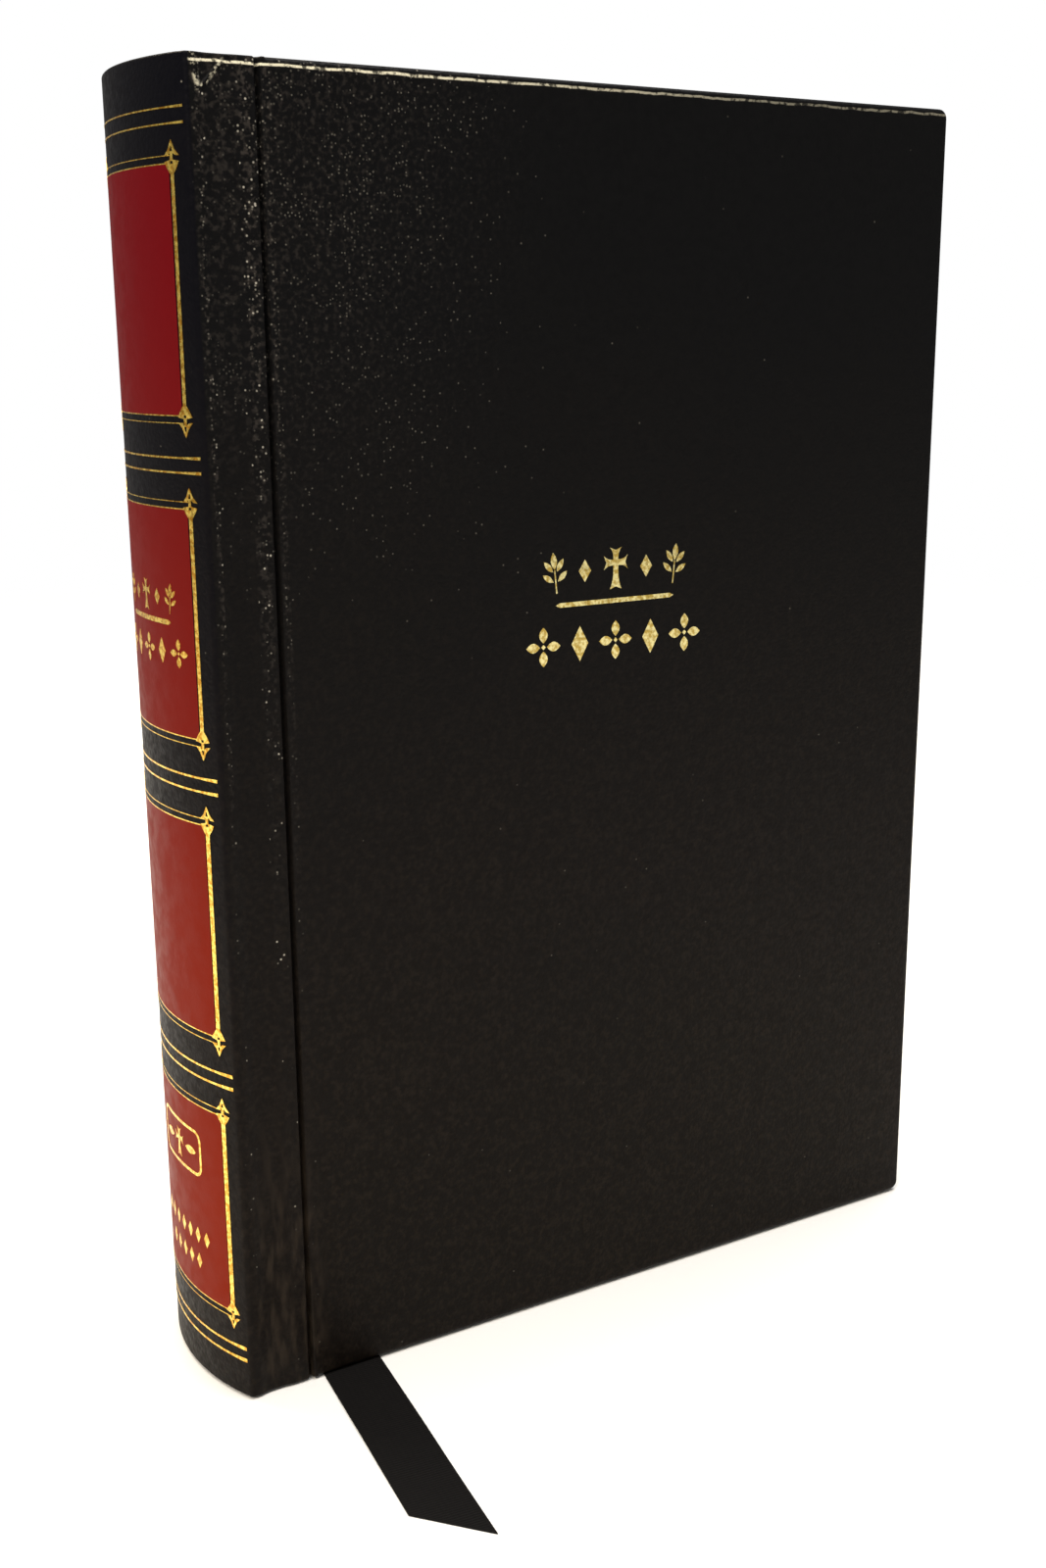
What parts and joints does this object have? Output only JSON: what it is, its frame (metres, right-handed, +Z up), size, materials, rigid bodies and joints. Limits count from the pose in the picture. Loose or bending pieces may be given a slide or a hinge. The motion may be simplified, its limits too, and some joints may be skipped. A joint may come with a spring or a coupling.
{
  "type": "case-bound bible with ribbon marker",
  "caption": "Compact black hardback book with a round spine, red spine labels, gold foil ornament, sewn leaves that open and a ribbon marker.",
  "frame": {"origin": "middle of the foot of the standing book, on the surface it stands on, without the ribbon's free end", "axes": "+Z up to the head, +X from the spine to the fore-edge, -Y out of the front cover"},
  "size_m": [0.1327, 0.0773, 0.19],
  "materials": {
    "black_covering": "fine-grained, semi-gloss",
    "binders_board": "grey-brown pressed board",
    "endpaper": "uncoated white",
    "bible_paper": "thin uncoated",
    "red_foil": "stamped pigment foil, satin",
    "gold_foil": "bright stamped foil",
    "lining_paper": "brown kraft",
    "mull_gauze": "open-weave gauze",
    "spine_glue": "dried adhesive",
    "thread": "waxed thread",
    "band_cloth": "woven band",
    "ribbon_satin": "black satin"
  },
  "bodies": {
    "spine": {"spine_card": "binders_board", "spine_covering": "black_covering", "front_joint_ridge": "black_covering", "back_joint_ridge": "black_covering", "spine_label_1": "red_foil", "spine_label_2": "red_foil", "spine_label_3": "red_foil", "spine_label_4": "red_foil", "spine_label_frames": "gold_foil", "spine_rules": "gold_foil", "spine_stamp": "gold_foil", "spine_emblem": "gold_foil", "spine_lining": "lining_paper", "spine_mull": "mull_gauze", "spine_glue": "spine_glue", "sewing_thread": "thread", "head_band": "band_cloth", "tail_band": "band_cloth", "front_sewn_gutter": "bible_paper", "back_sewn_gutter": "bible_paper", "ribbon_marker": "ribbon_satin", "ribbon_marker_end": "ribbon_satin"},
    "front_leaves_1": {"front_signature_01": "bible_paper", "front_signature_02": "bible_paper", "front_signature_03": "bible_paper"},
    "front_leaves_2": {"front_signature_04": "bible_paper", "front_signature_05": "bible_paper", "front_signature_06": "bible_paper"},
    "front_leaves_3": {"front_signature_07": "bible_paper", "front_signature_08": "bible_paper", "front_signature_09": "bible_paper"},
    "front_leaves_4": {"front_signature_10": "bible_paper", "front_signature_11": "bible_paper", "front_signature_12": "bible_paper"},
    "front_flyleaf": {"front_flyleaf": "endpaper"},
    "front_cover": {"front_board": "binders_board", "front_covering": "black_covering", "front_joint_trough": "black_covering", "front_pastedown": "endpaper", "front_endpaper_joint": "endpaper", "cover_stamp": "gold_foil"},
    "back_leaves_1": {"back_signature_01": "bible_paper", "back_signature_02": "bible_paper", "back_signature_03": "bible_paper"},
    "back_leaves_2": {"back_signature_04": "bible_paper", "back_signature_05": "bible_paper", "back_signature_06": "bible_paper"},
    "back_leaves_3": {"back_signature_07": "bible_paper", "back_signature_08": "bible_paper", "back_signature_09": "bible_paper"},
    "back_leaves_4": {"back_signature_10": "bible_paper", "back_signature_11": "bible_paper", "back_signature_12": "bible_paper"},
    "back_flyleaf": {"back_flyleaf": "endpaper"},
    "back_cover": {"back_board": "binders_board", "back_covering": "black_covering", "back_joint_trough": "black_covering", "back_pastedown": "endpaper", "back_endpaper_joint": "endpaper"}
  },
  "joints": [
    {"name": "front_half_opening", "type": "hinge", "parent": "spine", "child": "front_leaves_1", "pos_m": [-0.0597, -0.0124, 0], "axis": [0, 0, -1], "range_deg": [0, 80], "deforming": ["front_joint_ridge"]},
    {"name": "front_leaves_2_turn", "type": "hinge", "parent": "spine", "child": "front_leaves_2", "pos_m": [-0.05695, -0.00932, 0], "axis": [0, 0, -1], "range_deg": [0, 80]},
    {"name": "front_leaves_3_turn", "type": "hinge", "parent": "spine", "child": "front_leaves_3", "pos_m": [-0.0542, -0.00624, 0], "axis": [0, 0, -1], "range_deg": [0, 80]},
    {"name": "front_leaves_4_turn", "type": "hinge", "parent": "spine", "child": "front_leaves_4", "pos_m": [-0.05145, -0.00316, 0], "axis": [0, 0, -1], "range_deg": [0, 80]},
    {"name": "front_cover_opening", "type": "hinge", "parent": "front_leaves_1", "child": "front_cover", "pos_m": [-0.0562, -0.0147, 0], "axis": [0, 0, -1], "range_deg": [0, 105], "deforming": ["front_endpaper_joint", "front_joint_trough"]},
    {"name": "front_flyleaf_turn", "type": "hinge", "parent": "front_leaves_1", "child": "front_flyleaf", "pos_m": [-0.0577, -0.01265, 0], "axis": [0, 0, -1], "range_deg": [0, 52.5]},
    {"name": "back_half_opening", "type": "hinge", "parent": "spine", "child": "back_leaves_1", "pos_m": [-0.0597, 0.0124, 0], "axis": [0, 0, 1], "range_deg": [0, 80], "deforming": ["back_joint_ridge"]},
    {"name": "back_leaves_2_turn", "type": "hinge", "parent": "spine", "child": "back_leaves_2", "pos_m": [-0.05695, 0.00932, 0], "axis": [0, 0, 1], "range_deg": [0, 80]},
    {"name": "back_leaves_3_turn", "type": "hinge", "parent": "spine", "child": "back_leaves_3", "pos_m": [-0.0542, 0.00624, 0], "axis": [0, 0, 1], "range_deg": [0, 80]},
    {"name": "back_leaves_4_turn", "type": "hinge", "parent": "spine", "child": "back_leaves_4", "pos_m": [-0.05145, 0.00316, 0], "axis": [0, 0, 1], "range_deg": [0, 80]},
    {"name": "back_cover_opening", "type": "hinge", "parent": "back_leaves_1", "child": "back_cover", "pos_m": [-0.0562, 0.0147, 0], "axis": [0, 0, 1], "range_deg": [0, 105], "deforming": ["back_endpaper_joint", "back_joint_trough"]},
    {"name": "back_flyleaf_turn", "type": "hinge", "parent": "back_leaves_1", "child": "back_flyleaf", "pos_m": [-0.0577, 0.01265, 0], "axis": [0, 0, 1], "range_deg": [0, 52.5]}
  ],
  "couplings": [
    {"joint": "front_leaves_2_turn", "follows": "front_half_opening", "ratio": 1},
    {"joint": "front_leaves_3_turn", "follows": "front_half_opening", "ratio": 1},
    {"joint": "front_leaves_4_turn", "follows": "front_half_opening", "ratio": 1},
    {"joint": "front_flyleaf_turn", "follows": "front_cover_opening", "ratio": 0.5},
    {"joint": "back_leaves_2_turn", "follows": "back_half_opening", "ratio": 1},
    {"joint": "back_leaves_3_turn", "follows": "back_half_opening", "ratio": 1},
    {"joint": "back_leaves_4_turn", "follows": "back_half_opening", "ratio": 1},
    {"joint": "back_flyleaf_turn", "follows": "back_cover_opening", "ratio": 0.5}
  ]
}
